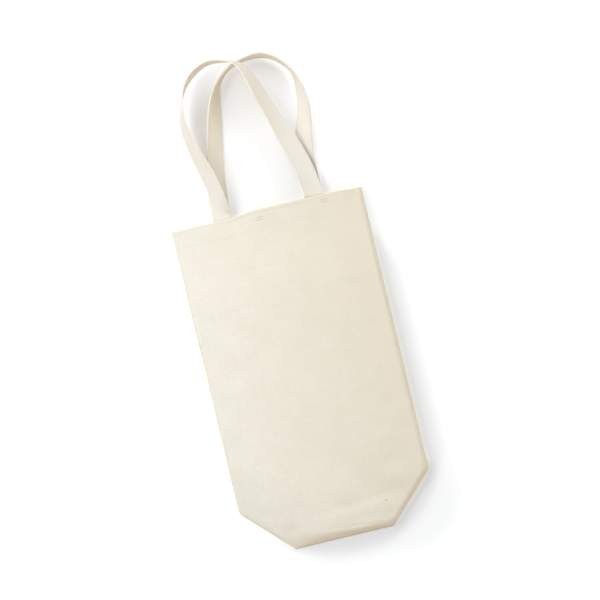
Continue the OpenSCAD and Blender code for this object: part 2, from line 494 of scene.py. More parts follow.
@dataclass(frozen=True)
class Cotton:
    """Plain-woven natural cotton: the finish of the panels, the straps and the inner layers.

    Painted side shade is how much darker the cloth is painted over its run towards the right,
    standing in for the light falling off there. Painted lee shade is the share of a warmer colour
    painted as shade on faces that look the lee way, away from the key lamp. Painted occlusion is
    the share of a darker colour painted as shade where there is little open space, and seed the
    place of one dark seed in the weave.
    """

    name: str
    light: tuple[float, ...]
    dark: tuple[float, ...]
    pitch: float = 0.62
    drift: float = 0.9
    drift_scale: float = 0.11
    yarn_roundness: float = 0.6
    yarn_overlap: float = 0.25
    yarn_scale: float = 1.1
    warp_stretch: float = 0.045
    weft_stretch: float = 0.035
    slub_range: tuple[float, float] = (0.56, 0.72)
    patch_scale: float = 0.035
    mottle_scale: float = 0.22
    fuzz_scale: float = 5.5
    broad_detail: float = 3.0
    yarn_mean: float = 0.72
    thick_shade: float = 0.9
    patch_shade: float = 0.3
    mottle_shade: float = 0.28
    painted_gap_shade: float = 0.5
    fuzz_shade: float = 0.2
    painted_side_shade: float = 0.0
    painted_side_shade_run: float = 100.0
    fleck: tuple[float, ...] = linear(150, 118, 84)
    fleck_spacing: float = 26.0
    fleck_size: float = 0.3
    fleck_chance: float = 0.45
    fleck_share: float = 0.55
    seed: tuple[float, float] | None = None
    seed_rim: tuple[float, float] = (0.75, 0.35)
    painted_lee_shade: float = 0.0
    painted_lee_shade_color: tuple[float, ...] = linear(249, 227, 192)
    painted_lee_shade_way: tuple[float, float, float] = (0.2, -0.98, 0.0)
    painted_lee_shade_range: tuple[float, float] = (0.1, 0.6)
    painted_occlusion: float = 0.0
    painted_occlusion_reach: float = 14.0
    painted_occlusion_color: tuple[float, ...] = linear(130, 112, 76)
    painted_occlusion_open: float = 0.98
    painted_occlusion_closed: float = 0.35
    relief: float = 0.1
    slub: float = 0.10
    fuzz: float = 0.04
    bump: float = 0.8
    roughness: float = 0.92
    specular: float = 0.22
    sheen: float = 0.12
    sheen_roughness: float = 0.45
    translucency: float = 0.0
    scatter: tuple[float, float, float] = (1.0, 0.88, 0.74)
    scatter_reach: float = 1.6

    def material(self) -> bpy.types.Material:
        """Builds the cloth.

        The weave coordinates are in millimetres. The product of two sines, one across the warp
        and one across the weft, is positive where the warp lies on top and negative where the
        weft does, and its size to the power of the yarn's roundness is the height of the yarn.
        Noise drawn out along each yarn makes thick and thin places, broad noise makes patches,
        and a scatter of cells holds flecks.

        Returns:
            The material.
        """
        g = Graph(bpy.data.materials.new(self.name))
        cloth = g.node("ShaderNodeUVMap", {"uv_map": WEAVE_MAP}).outputs["UV"]
        drift = g.node("ShaderNodeTexNoise", Vector=cloth, Scale=self.drift_scale, Detail=2.0)
        offset = g.vector_math("MULTIPLY_ADD", drift.outputs["Color"],
                               (self.drift, self.drift, 0.0), cloth)
        yarns = g.node("ShaderNodeSeparateXYZ", Vector=offset.outputs[0])
        turn = math.pi / self.pitch
        across, along = (g.math("SINE", g.math("MULTIPLY", yarns.outputs[axis], turn))
                         for axis in "XY")
        over = g.math("MULTIPLY", across, along)
        yarn = g.math("POWER", g.math("ABSOLUTE", over), self.yarn_roundness)
        warp_on_top = g.ramp(over, -self.yarn_overlap, self.yarn_overlap)
        warp = g.noise(g.stretched(cloth, self.yarn_scale, self.warp_stretch), 1.0)
        weft = g.noise(g.stretched(cloth, self.weft_stretch, self.yarn_scale), 1.0)
        thick = g.math("MULTIPLY_ADD", g.math("SUBTRACT", warp, weft), warp_on_top, weft)
        fuzz = g.noise(cloth, self.fuzz_scale)
        color = g.mix(g.ramp(self.shade(g, cloth, thick, yarn, fuzz), 0.0, 1.0),
                      self.dark, self.light)
        color = self.marks(g, cloth, color)
        # Painted shade: faces that look the lee way, away from the key lamp, turn a warmer colour.
        if self.painted_lee_shade:
            facing = g.vector_math("DOT_PRODUCT", g.node("ShaderNodeNewGeometry").outputs["Normal"],
                                   self.painted_lee_shade_way).outputs["Value"]
            color = g.mix(g.ramp(facing, *self.painted_lee_shade_range, 0.0, self.painted_lee_shade), color, self.painted_lee_shade_color)
        # Painted shade: where there is little open space within the reach, as in crevices and where
        # the straps cross, the colour goes darker.
        if self.painted_occlusion:
            closed = g.ramp(g.openness(self.painted_occlusion_reach), self.painted_occlusion_open, self.painted_occlusion_closed,
                            0.0, self.painted_occlusion)
            color = g.mix(closed, color, self.painted_occlusion_color)
        height = g.math("MULTIPLY", yarn, self.relief)
        height = g.math("MULTIPLY_ADD", g.ramp(thick, *self.slub_range), self.slub, height)
        height = g.math("MULTIPLY_ADD", fuzz, self.fuzz, height)
        bump = g.node("ShaderNodeBump", Strength=self.bump, Distance=MM, Height=height)
        base = g.node("ShaderNodeBsdfPrincipled", Base_Color=color, Roughness=self.roughness,
                      Specular_IOR_Level=self.specular, Sheen_Weight=self.sheen,
                      Sheen_Roughness=self.sheen_roughness, Normal=bump.outputs[0])
        if self.translucency:
            base.subsurface_method = "BURLEY"
            g.join(self.translucency, base.inputs["Subsurface Weight"])
            g.join(self.scatter, base.inputs["Subsurface Radius"])
            g.join(self.scatter_reach * MM, base.inputs["Subsurface Scale"])
        return g.finish(base.outputs[0])

    def shade(self, g: Graph, cloth: bpy.types.NodeSocket, thick: bpy.types.NodeSocket,
              yarn: bpy.types.NodeSocket, fuzz: bpy.types.NodeSocket) -> bpy.types.NodeSocket:
        """Adds nodes for the cloth's lightness, a half plus what each kind of unevenness and the
        painted shade between yarns adds.

        Args:
            g: The cloth's graph.
            cloth: Weave coordinates.
            thick: Thickness of the yarn on top.
            yarn: Height of the yarn.
            fuzz: Fine noise.

        Returns:
            The lightness, 0 at the dark colour and 1 at the light one.
        """
        patches = g.noise(cloth, self.patch_scale, self.broad_detail)
        mottle = g.noise(cloth, self.mottle_scale, self.broad_detail)
        shade = 0.5
        # The yarn's height paints the tops of the yarns lighter and the gaps between them darker:
        # painted shade. The other terms are unevenness of the cloth's own colour.
        for value, mean, share in (
                (thick, 0.5, self.thick_shade), (patches, 0.5, self.patch_shade),
                (mottle, 0.5, self.mottle_shade), (yarn, self.yarn_mean, self.painted_gap_shade),
                (fuzz, 0.5, self.fuzz_shade)):
            shade = g.math("MULTIPLY_ADD", g.math("SUBTRACT", value, mean), share, shade)
        # Painted shade: the cloth is painted darker towards the right, standing in for the light
        # falling off there.
        if self.painted_side_shade:
            place = g.node("ShaderNodeSeparateXYZ", Vector=cloth)
            shade = g.math("MULTIPLY_ADD", place.outputs["X"], -self.painted_side_shade / self.painted_side_shade_run, shade)
        return shade

    def marks(self, g: Graph, cloth: bpy.types.NodeSocket, color: bpy.types.NodeSocket
              ) -> bpy.types.NodeSocket:
        """Adds the flecks and the seed to a colour.

        Args:
            g: The cloth's graph.
            cloth: Weave coordinates.
            color: The plain cloth's colour.

        Returns:
            The colour with its marks.
        """
        cells = g.node("ShaderNodeTexVoronoi", {"feature": "F1"}, Vector=cloth,
                       Scale=1 / self.fleck_spacing, Randomness=1.0)
        near = g.math("LESS_THAN", cells.outputs["Distance"], self.fleck_size / self.fleck_spacing)
        parts = g.node("ShaderNodeSeparateColor", Color=cells.outputs["Color"])
        chosen = g.math("LESS_THAN", parts.outputs[0], self.fleck_chance)
        share = g.math("MULTIPLY", g.math("MULTIPLY", near, chosen), self.fleck_share)
        color = g.mix(share, color, self.fleck)
        if self.seed:
            apart = g.vector_math("DISTANCE", cloth, (*self.seed, 0.0)).outputs["Value"]
            color = g.mix(g.ramp(apart, *self.seed_rim), color, self.fleck)
        return color


@dataclass(frozen=True)
class Thread:
    """Twisted cotton sewing thread."""

    name: str
    light: tuple[float, ...]
    dark: tuple[float, ...]
    twist: float = 0.35
    ridge: float = 0.05
    bump: float = 0.5
    roughness: float = 0.7
    specular: float = 0.3
    sheen: float = 0.1

    def material(self) -> bpy.types.Material:
        """Builds the thread, with a twist of slanted ridges round it, painted lighter on top and
        darker, as shade, in the grooves.

        Returns:
            The material.
        """
        g = Graph(bpy.data.materials.new(self.name))
        place = g.node("ShaderNodeUVMap", {"uv_map": WEAVE_MAP}).outputs["UV"]
        parts = g.node("ShaderNodeSeparateXYZ", Vector=place)
        slant = g.math("ADD", parts.outputs["X"], parts.outputs["Y"])
        ridge = g.math("SINE", g.math("MULTIPLY", slant, math.tau / self.twist))
        # Painted shade: the share that raises the ridges also paints their tops lighter and the
        # grooves of the twist darker.
        share = g.math("MULTIPLY_ADD", ridge, 0.5, 0.5)
        bump = g.node("ShaderNodeBump", Strength=self.bump, Distance=self.ridge * MM,
                      Height=share)
        shader = g.node("ShaderNodeBsdfPrincipled", Base_Color=g.mix(share, self.dark, self.light),
                        Roughness=self.roughness, Specular_IOR_Level=self.specular,
                        Sheen_Weight=self.sheen, Normal=bump.outputs[0])
        return g.finish(shader.outputs[0])


@dataclass(frozen=True)
class Dent:
    """A soft hollow, or with a positive height a soft rise, in a cloth."""

    x: float
    y: float
    length: float
    width: float
    turn: float
    height: float

    def at(self, x: Array, y: Array) -> Array:
        """Height at places on the cloth, a bell curve along and across a turned axis.

        Args:
            x: Places across the bag.
            y: Places along the bag.

        Returns:
            The height at each place.
        """
        c, s = math.cos(math.radians(self.turn)), math.sin(math.radians(self.turn))
        along = (x - self.x) * c + (y - self.y) * s
        off = (y - self.y) * c - (x - self.x) * s
        return self.height * np.exp(-(along / self.length) ** 2 - (off / self.width) ** 2)


@dataclass(frozen=True)
class Ripples:
    """Waves of many lengths and directions, as an ironed cloth keeps."""

    seed: int
    count: int
    longest: float
    shortest: float
    height: float

    def at(self, x: Array, y: Array) -> Array:
        """Height at places on the cloth: a sum of sines, each as high as it is long.

        Args:
            x: Places across the bag.
            y: Places along the bag.

        Returns:
            The height at each place.
        """
        rng = np.random.default_rng(self.seed)
        total = np.zeros(np.broadcast(x, y).shape)
        for length in np.geomspace(self.longest, self.shortest, self.count):
            turn, phase = rng.uniform(0, math.tau, 2)
            wave = x * math.cos(turn) + y * math.sin(turn)
            total = total + length / self.longest * np.sin(math.tau * wave / length + phase)
        return self.height * total


@dataclass(frozen=True)
class Outline:
    """Outline of the bag lying flat, with softened corners and sides that aren't quite straight."""

    bag: BagSizes
    ease: float = 0.8
    softness: float = 1.3
    waviness: float = 0.35
    wave_share: float = 0.4
    waves: tuple[tuple[float, float, float], ...] = ((1.0, 31.0, 1.7), (0.6, 13.7, 4.1))
    bulge: float = 0.9
    bulge_place: float = -123.0
    bulge_run: float = 5.0

    @property
    def side(self) -> float:
        """Half width at the straight sides, with the ease that the cloth takes when it lies."""
        return self.bag.half_width + self.ease

    def chamfer(self, y: Array) -> Array:
        """Half width that the folded-in corners leave at a height, before it is softened."""
        return self.bag.base_half + y - self.bag.bottom + self.ease * math.sqrt(2)

    def slope(self, y: Array) -> Array:
        """How far the outline has turned from a side, 0, to a folded-in corner, 1."""
        return 1 / (1 + np.exp((self.chamfer(y) - self.side) / self.softness))

    def slant(self, y: Array) -> Array:
        """Width across the bag of one unit measured square to the outline."""
        return np.sqrt(1 + self.slope(y) ** 2)

    def half_width(self, y: Array, way: Array) -> Array:
        """Half width at a height.

        The smaller of the side and the chamfer, joined by a logarithm of exponentials, plus waves
        that differ on the left and on the right.

        Args:
            y: Places along the bag.
            way: Sign of X, -1 or 1.

        Returns:
            The half width.
        """
        side = np.full(np.shape(y), self.side)
        joined = -self.softness * np.logaddexp(-side / self.softness,
                                               -self.chamfer(y) / self.softness)
        wave = sum(size * np.sin(y / length + turn * way) for size, length, turn in self.waves)
        bulge = np.exp(-((y - self.bulge_place) / self.bulge_run) ** 2) * (way > 0)
        return joined + self.waviness * self.wave_share * wave + self.bulge * bulge


@dataclass(frozen=True)
class Turn:
    """Rounded edge where a cloth turns under, from the angle at which it arrives to level again."""

    radius: Array | float
    start: Array | float = 0.0

    def angle(self, share: Array) -> Array:
        """Angle turned at a share of the way round."""
        return self.start + share * (math.pi - self.start)

    def drop(self, share: Array) -> Array:
        """Fall in height, the radius times the change of the angle's cosine."""
        return self.radius * (np.cos(self.start) - np.cos(self.angle(share)))

    def reach(self, share: Array) -> Array:
        """Distance gained outwards, the radius times the change of the angle's sine."""
        return self.radius * (np.sin(self.angle(share)) - np.sin(self.start))

    def inset(self) -> Array | float:
        """Distance of the start of the turn from the outermost edge."""
        return self.radius * (1 - np.sin(self.start))

    def arc(self, share: Array) -> Array:
        """Length of cloth along the turn."""
        return self.radius * share * (math.pi - self.start)


@dataclass(frozen=True)
class Panel:
    """Front or back cloth of the bag, from the fold at the mouth to the fold at the bottom.

    Heights are measured out from the middle of the bag's layers in the way that the panel faces,
    so that one shape serves both halves.
    """

    bag: BagSizes
    outline: Outline
    half: Half
    fold: float
    edge_height: float
    crown: float
    seam_height: float
    slit_height: float
    dents: tuple[Dent, ...] = ()
    ripples: Ripples | None = None
    belly: float = 0.0
    belly_run: float = 70.0
    side_rounding: float = 6.0
    corner_roundings: tuple[float, float] = (6.0, 8.5)
    flat_run: float = 42.0
    flat_share: float = 0.0
    bottom_roundings: tuple[float, float] = (15.0, 8.0)
    swell_run: float = 100.0
    swell_share: float = 0.16
    sag_start: float = 48.0
    sag_depth: float = 2.4
    step_start: float = 8.0
    step_run: float = 34.0
    step_depth: float = 2.4
    sag_run: float = 60.0
    relief_run: float = 6.0
    hem_radius: float = 1.2
    hem_margin: float = 3.0
    foot_length: float = 50.0
    slope_step: float = 0.5
    turn_steps: int = 9
    fine_step: float = 0.8
    coarse_step: float = 2.1
    foot_rows: int = 48
    columns: int = 124

    def rounding(self, distance: Array, run: Array | float) -> Array:
        """Share of the crown reached at a distance from an edge.

        One less a near term, a cube that ends after the run and gives the steep edge, and a far
        term, a square that ends at the middle and gives the gentle swell.
        """
        near = np.clip(1 - np.maximum(distance, 0) / run, 0, 1) ** 3
        far = np.clip(1 - np.maximum(distance, 0) / self.swell_run, 0, 1) ** 2
        return 1 - (1 - self.swell_share) * near - self.swell_share * far

    def height(self, y: Array) -> Array:
        """Crown at a place along the bag: a sine squared brings the belly in below the hem."""
        share = np.clip((self.bag.hem - y) / self.belly_run, 0, 1)
        return self.crown + self.belly * np.sin(share * math.pi / 2) ** 2

    def side_run(self, y: Array, way: Array) -> Array:
        """Run of the rounding along the sides and the folded-in corners."""
        corner = np.where(way < 0, *self.corner_roundings)
        return self.side_rounding + (corner - self.side_rounding) * self.outline.slope(y)

    def flatness(self, distance: Array, way: Array | float) -> Array:
        """Share of the crown left near the left folded-in corner, which lies flatter."""
        near = np.clip(1 - np.maximum(distance, 0) / self.flat_run, 0, 1) ** 2
        return 1 - self.flat_share * near * (np.asarray(way) < 0)

    def start(self, y: Array | float, run: Array | float, share: Array | float = 1.0) -> Array:
        """Angle at which a share of the crown arrives at an edge."""
        return np.arctan(self.height(y) * share * (3 * (1 - self.swell_share) / run
                                                   + 2 * self.swell_share / self.swell_run))

    def side_turn(self, y: Array, way: Array | float) -> Turn:
        """Turn along the sides and the folded-in corners."""
        end = self.seam_height + (self.slit_height - self.seam_height) * self.outline.slope(y)
        share = 1 - self.flat_share * self.outline.slope(y) * (np.asarray(way) < 0)
        start = self.start(y, self.side_run(y, way), share)
        return Turn((self.edge_height - end) / (1 + np.cos(start)), start)

    def bottom_run(self, x: Array) -> Array:
        """Run of the rounding along the bottom fold, from its left end to its right end."""
        left, right = self.bottom_roundings
        return np.interp(x, (-self.bag.base_half, self.bag.base_half), (left, right))

    def bottom_turn(self) -> Turn:
        """Turn along the bottom fold."""
        start = self.start(self.fold, sum(self.bottom_roundings) / 2)
        return Turn((self.edge_height - self.slit_height) / (1 + np.cos(start)), start)

    def sag(self, x: Array, y: Array) -> Array:
        """How far the mouth hangs back at its ends: a square at the right, a soft step at the left.

        It fades out down the panel.
        """
        right = np.clip((x - self.sag_start) / (self.bag.half_width - self.sag_start), 0, 1) ** 2
        step = np.clip(-(x + self.step_start) / self.step_run, 0, 1)
        left = step * step * (3 - 2 * step)
        fade = np.clip(1 - (self.bag.mouth - y) / self.sag_run, 0, 1)
        return -(self.sag_depth * right + self.step_depth * left) * fade

    def top(self, x: Array, y: Array) -> Array:
        """Height of the outer face.

        The crown times its rounding from the nearest of the side and the folded-in corner, from
        the other of the two, and from the bottom fold, plus the dents and ripples, which fade
        out at the edges.

        Args:
            x: Places across the bag.
            y: Places along the bag.

        Returns:
            The height at each place.
        """
        way = np.where(x < 0, -1.0, 1.0)
        turn = self.side_turn(y, way)
        slant = self.outline.slant(y)
        nearest = (self.outline.half_width(y, way) - np.abs(x)) / slant - turn.inset()
        side = self.outline.side - np.abs(x) - turn.inset()
        corner = (self.outline.chamfer(y) - np.abs(x)) / math.sqrt(2) - turn.inset()
        end = y - self.fold - self.bottom_turn().inset()
        height = self.edge_height + self.height(y) * (
            self.rounding(nearest, self.side_run(y, way))
            * self.rounding(end, self.bottom_run(x)) * self.flatness(corner, way)
            * self.rounding(np.maximum(side, corner), self.side_run(y, way)))
        fade = np.clip(nearest / self.relief_run, 0, 1) * np.clip(end / self.relief_run, 0, 1)
        relief = sum((dent.at(x, y) for dent in self.dents), np.zeros(np.shape(height)))
        if self.ripples:
            relief = relief + self.ripples.at(x, y)
        return height + relief * fade

    def turn_shares(self) -> Array:
        """Shares of the way round a turn, one for each of its steps."""
        return np.arange(1, self.turn_steps + 1) / self.turn_steps

    def slit(self) -> tuple[float, float]:
        """Place along the bag and height at which the cloth leaves the bottom's turn, inside."""
        return self.fold + float(self.bottom_turn().radius), self.slit_height * self.half.value

    def rows(self) -> tuple[Array, Array, Array]:
        """Rows from the inner end of the mouth's turn to the inner end of the bottom's.

        Returns:
            Place of each row along the bag, and how far it has gone round the mouth's turn and
            round the bottom's, from 0 to 1.
        """
        first = self.bag.mouth - self.hem_radius
        last = self.fold + float(self.bottom_turn().inset())
        hem = np.arange(first, self.bag.hem - self.hem_margin, -self.fine_step)
        body = np.arange(hem[-1] - self.coarse_step, last + self.foot_length, -self.coarse_step)
        foot = last + (body[-1] - last) * np.linspace(1, 0, self.foot_rows)[1:] ** 2
        inside = np.concatenate([hem, body, foot])
        around = self.turn_shares()
        y = np.concatenate([np.full(len(around), first), inside, np.full(len(around), last)])
        level = np.zeros(len(inside) + len(around))
        return y, np.concatenate([around[::-1], level]), np.concatenate([level, around])

    def surface(self) -> tuple[Array, Array]:
        """Outer face with its turned edges.

        Inside, a column keeps its share of the half width, and the height is that of top. Beyond
        an edge the cloth goes round the edge's turn. At a corner the two turns join: the farther
        of the two says how far round the cloth is, and their ratio the direction.

        Returns:
            Grid of places, and grid of weave coordinates.
        """
        y, mouth, foot = (v[:, None] for v in self.rows())
        around = self.turn_shares()
        edge = np.ones(len(around))
        share = np.concatenate([-edge, gathered(self.columns), edge])[None]
        side = np.concatenate([around[::-1], np.zeros(self.columns), around])[None]
        way = np.where(share < 0, -1.0, 1.0)
        side_turn = self.side_turn(y, way)
        foot_turn = self.bottom_turn()
        hem_turn = Turn(self.hem_radius)
        slant = self.outline.slant(y)
        half = self.outline.half_width(y, way) - slant * side_turn.inset()
        x = share * half
        height = self.top(x, np.broadcast_to(y, x.shape))
        end = np.maximum(mouth, foot)
        length = np.maximum(np.hypot(side, end), TINY)
        across, along = side / length, end / length
        turned = np.maximum(side, end)
        at_mouth = mouth > 0
        end_reach = np.where(at_mouth, hem_turn.reach(turned), -foot_turn.reach(turned))
        end_drop = np.where(at_mouth, hem_turn.drop(turned), foot_turn.drop(turned))
        end_arc = np.where(at_mouth, hem_turn.arc(mouth), -foot_turn.arc(foot))
        place = np.stack(np.broadcast_arrays(
            x + way * across * slant * side_turn.reach(turned),
            y + along * end_reach + self.sag(x, y),
            height - across ** 2 * side_turn.drop(turned) - along ** 2 * end_drop), axis=-1)
        weave = np.stack(np.broadcast_arrays(x + way * side_turn.arc(side), y + end_arc), axis=-1)
        place = place * self.half.mirror
        if self.half is Half.BACK:
            place, weave = place[:, ::-1], weave[:, ::-1]
        return place, weave

    def under(self, x: Array, y: Array, depth: Array | float) -> Array:
        """Places under the outer face, at a depth along its normal.

        Args:
            x: Places across the bag.
            y: Places along the bag.
            depth: Depth below the outer face.

        Returns:
            The places.
        """
        step = self.slope_step
        slope_x = (self.top(x + step, y) - self.top(x - step, y)) / (2 * step)
        slope_y = (self.top(x, y + step) - self.top(x, y - step)) / (2 * step)
        normal = unit(np.stack(np.broadcast_arrays(-slope_x, -slope_y, 1.0), axis=-1))
        face = np.stack(np.broadcast_arrays(x, y + self.sag(x, y), self.top(x, y)), axis=-1)
        depth = np.broadcast_to(depth, face.shape[:-1])[..., None]
        return (face - normal * depth) * self.half.mirror

    def build(self) -> bpy.types.Object:
        """Makes the cloth."""
        patch = Patchwork()
        place, weave = self.surface()
        patch.sheet(place, weave, self.bag.cloth)
        patch.press()
        return patch.build(f"{self.half.word}_cloth")


@dataclass(frozen=True)
class Hem:
    """Turned layers inside the mouth: down the inside of the panel, and back up between the two."""

    panel: Panel
    inset: float = 4.5
    columns: int = 70
    steps: int = 16
    turn_steps: int = 7

    def build(self) -> bpy.types.Object:
        """Makes the turned layers.

        The path starts where the panel's turn at the mouth ends, runs down the inside, goes
        round a half circle and runs back up against the panel.
        """
        bag = self.panel.bag
        low, high = bag.hem_depth, bag.layer
        radius = (low - high) / 2
        first = bag.mouth - self.panel.hem_radius
        last = bag.hem + radius
        angle = np.linspace(0, math.pi, self.turn_steps)
        down = np.linspace(first, last, self.steps)[:-1]
        up = np.linspace(last, first - bag.layer, self.steps)[1:]
        y = np.concatenate([down, last - radius * np.sin(angle), up])[:, None]
        depth = np.concatenate([np.full(len(down), low), low - radius + radius * np.cos(angle),
                                np.full(len(up), high)])[:, None]
        half = bag.half_width - self.inset
        x, y, depth = np.broadcast_arrays(half * gathered(self.columns)[None], y, depth)
        place = self.panel.under(x, y, depth)
        run = run_along(np.column_stack([y[:, 0], depth[:, 0]]))
        weave = np.stack(np.broadcast_arrays(x, run[:, None]), axis=-1)
        if self.panel.half is Half.FRONT:
            place, weave = place[:, ::-1], weave[:, ::-1]
        patch = Patchwork()
        patch.sheet(place, weave, bag.cloth)
        return patch.build(f"{self.panel.half.word}_hem_layers")


@dataclass(frozen=True)
class FoldedBase:
    """The cloth that is folded up inside the bottom of the bag, and the seams that shape it."""

    bag: BagSizes
    outline: Outline
    front: Panel
    back: Panel
    columns: int = 24
    rows: int = 16
    swell: float = 0.04
    swell_runs: tuple[float, float] = (9.0, 7.0)
    corner_gap: float = 0.1
    least_tuck: float = 0.3
    seam_inset: float = 1.6
    seam_margin: float = 1.0
    base_margin: float = 2.0
    corner_end: float = 14.0
    corner_lift: float = 0.1
    seam_step: float = 3.0
    seam_rows: int = 6
    seam_columns: int = 9
    seam_gap: float = 0.04
    flare: float = 0.12
    flare_run: float = 6.5
    whip_pitch: float = 3.0
    whip_steps: int = 8
    whip_bite: float = 1.7
    whip_over: float = 0.25
    whip_rise: float = 0.26
    whip_roundness: float = 0.35
    whip_radius: float = 0.13
    whip_sides: int = 5

    def layer(self, patch: Patchwork, x: Array, y: Array, panel: Panel) -> None:
        """Adds one flat layer to a patchwork, with its outer face turned away from a panel.

        Args:
            patch: The patchwork.
            x: Grid of places across, which grow along a row.
            y: Grid of places along, which fall from row to row.
            panel: The panel that the layer lies against.
        """
        across, along = self.swell_runs
        swell = self.swell * np.sin(x / across + 1.0) * np.sin(y / along)
        place = np.stack([x, y, panel.slit()[1] + swell], axis=-1)
        weave = np.stack([x, y], axis=-1)
        if panel.half is Half.FRONT:
            place, weave = place[:, ::-1], weave[:, ::-1]
        patch.sheet(place, weave, self.bag.cloth)

    def grid(self, left: Array | float, right: Array | float, low: float
             ) -> tuple[Array, Array]:
        """Grid between two sides, from the base seam down.

        Args:
            left: Left side, one value or one per row.
            right: Right side, one value or one per row.
            low: Place of the last row along the bag.

        Returns:
            Places across and places along.
        """
        y = np.linspace(self.bag.tuck, low, self.rows)[:, None]
        share = np.linspace(0, 1, self.columns)[None]
        left, right = (np.broadcast_to(np.asarray(v, float).reshape(-1, 1), (self.rows, 1))
                       for v in (left, right))
        x = left + (right - left) * share
        return x, np.broadcast_to(y, x.shape)

    def base(self, panel: Panel) -> bpy.types.Object:
        """Makes one half of the base, from the end of the panel's bottom turn to the base seam."""
        patch = Patchwork()
        half = self.bag.base_half
        self.layer(patch, *self.grid(-half, half, panel.slit()[0]), panel)
        return patch.build(f"{panel.half.word}_base_cloth")

    def tuck(self, way: Way) -> bpy.types.Object:
        """Makes the two layers of a folded-in corner."""
        bag = self.bag
        patch = Patchwork()
        for panel in (self.front, self.back):
            low = panel.slit()[0]
            rows = np.linspace(bag.tuck, low, self.rows)
            turned = panel.side_turn(rows, way.value).radius
            outer = self.outline.half_width(rows, way.value) - self.outline.slant(rows) * turned
            inner = np.full(len(rows), bag.base_half + self.corner_gap)
            outer = np.maximum(outer, inner + self.least_tuck)
            left, right = (inner, outer) if way is Way.RIGHT else (-outer, -inner)
            self.layer(patch, *self.grid(left, right, low), panel)
        return patch.build(f"{way.word}_tuck_cloth")

    def allowances(self, name: str, start: Array, end: Array, inward: Array, middle: float
                   ) -> bpy.types.Object:
        """Makes the two allowances of a seam, with thread whipped over their raw edges.

        Args:
            name: Name of the piece.
            start: Place where the seam begins, across and along.
            end: Place where it ends.
            inward: Direction of the allowances from the seam, of length one.
            middle: Height between the two layers.

        Returns:
            The piece.
        """
        bag = self.bag
        patch = Patchwork()
        run = end - start
        if inward[0] * run[1] - inward[1] * run[0] > 0:
            start, run = end, -run
        length = np.hypot(*run)
        rows = max(int(length / self.seam_step), self.seam_rows)
        share = np.linspace(0, 1, rows)[:, None]
        width = np.linspace(0, bag.seam, self.seam_columns)[None]
        x, y = (start[k] + share * run[k] + width * inward[k] for k in (0, 1))
        weave = np.stack(np.broadcast_arrays(width, share * length), axis=-1)
        flare = self.flare * (width / bag.seam) ** 2 * np.sin(share * length / self.flare_run)
        upper = middle + self.seam_gap + bag.cloth + np.abs(flare)
        lower = np.full(x.shape, middle - self.seam_gap - bag.cloth)
        patch.sheet(np.stack([x, y, upper], axis=-1), weave, bag.cloth)
        patch.sheet(np.stack([x, y, lower], axis=-1)[:, ::-1], weave[:, ::-1], bag.cloth)
        edge = start + inward * bag.seam
        self.whip(patch, edge, edge + run, inward, middle)
        return patch.build(name)

    def whip(self, patch: Patchwork, start: Array, end: Array, inward: Array, middle: float
             ) -> None:
        """Adds a thread that goes round and round the raw edges.

        The path is a flattened spiral: its place across the edge follows a cosine and its height
        a sine, once for each stitch.

        Args:
            patch: The patchwork to add to.
            start: Place where the edge begins, across and along.
            end: Place where it ends.
            inward: Direction out of the seam, of length one.
            middle: Height between the two layers.
        """
        turns = int(float(np.hypot(*(end - start))) / self.whip_pitch)
        phase = np.linspace(0, turns * math.tau, turns * self.whip_steps + 1)
        step = (end - start)[None] * (phase / phase[-1])[:, None]
        across = (self.whip_bite + self.whip_over) * np.cos(phase) - self.whip_bite
        base = start[None] + step + across[:, None] * inward[None]
        rise = ((self.bag.cloth + self.whip_rise) * np.sign(np.sin(phase))
                * np.abs(np.sin(phase)) ** self.whip_roundness)
        path = np.column_stack([base, middle + rise])
        thread(patch, path, self.whip_radius, self.whip_sides)

    def build(self) -> dict[str, bpy.types.Object]:
        """Makes all the folded cloth and its seams.

        Returns:
            The pieces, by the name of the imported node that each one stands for.
        """
        bag = self.bag
        made = {"front_base": self.base(self.front), "back_base": self.base(self.back)}
        for way in Way:
            made[f"{way.word}_corner_tuck"] = self.tuck(way)
            edge = way.value * (bag.half_width - self.seam_inset)
            inward = np.array([-way.value, 0.0])
            made[f"{way.word}_side_seam"] = self.allowances(
                f"{way.word}_side_allowances", np.array([edge, bag.tuck]),
                np.array([edge, bag.hem - self.seam_margin]), inward, bag.layers / 2)
            corner = way.value * bag.base_half
            made[f"{way.word}_corner_seam"] = self.allowances(
                f"{way.word}_corner_allowances", np.array([corner, bag.tuck - self.seam_margin]),
                np.array([corner, self.front.fold + self.corner_end]), inward,
                bag.layers + self.corner_lift)
        made["base_seam"] = self.allowances(
            "base_allowances", np.array([bag.seam + self.base_margin - bag.half_width, bag.tuck]),
            np.array([bag.half_width - bag.seam - self.base_margin, bag.tuck]),
            np.array([0.0, 1.0]), bag.layers / 2)
        return made


def thread(patch: Patchwork, path: Array, radius: float, sides: int) -> None:
    """Adds a thread along a path.

    A ring stands square to the path at each point. Its axes are the path's direction crossed with
    an almost vertical one, which no path here follows, and that crossed with the path's again.

    Args:
        patch: The patchwork to add to.
        path: Points along the thread.
        radius: Radius of the thread.
        sides: Number of points round it.
    """
    along = unit(np.gradient(path, axis=0))
    side = unit(np.cross(along, np.array(THREAD_UP)))
    rise = np.cross(side, along)
    angle = np.arange(sides) / sides * math.tau
    rings = (path[:, None] + radius * (side[:, None] * -np.cos(angle)[None, :, None]
                                       + rise[:, None] * np.sin(angle)[None, :, None]))
    patch.tube(rings, run_along(path), np.arange(sides + 1) / sides * math.tau * radius)


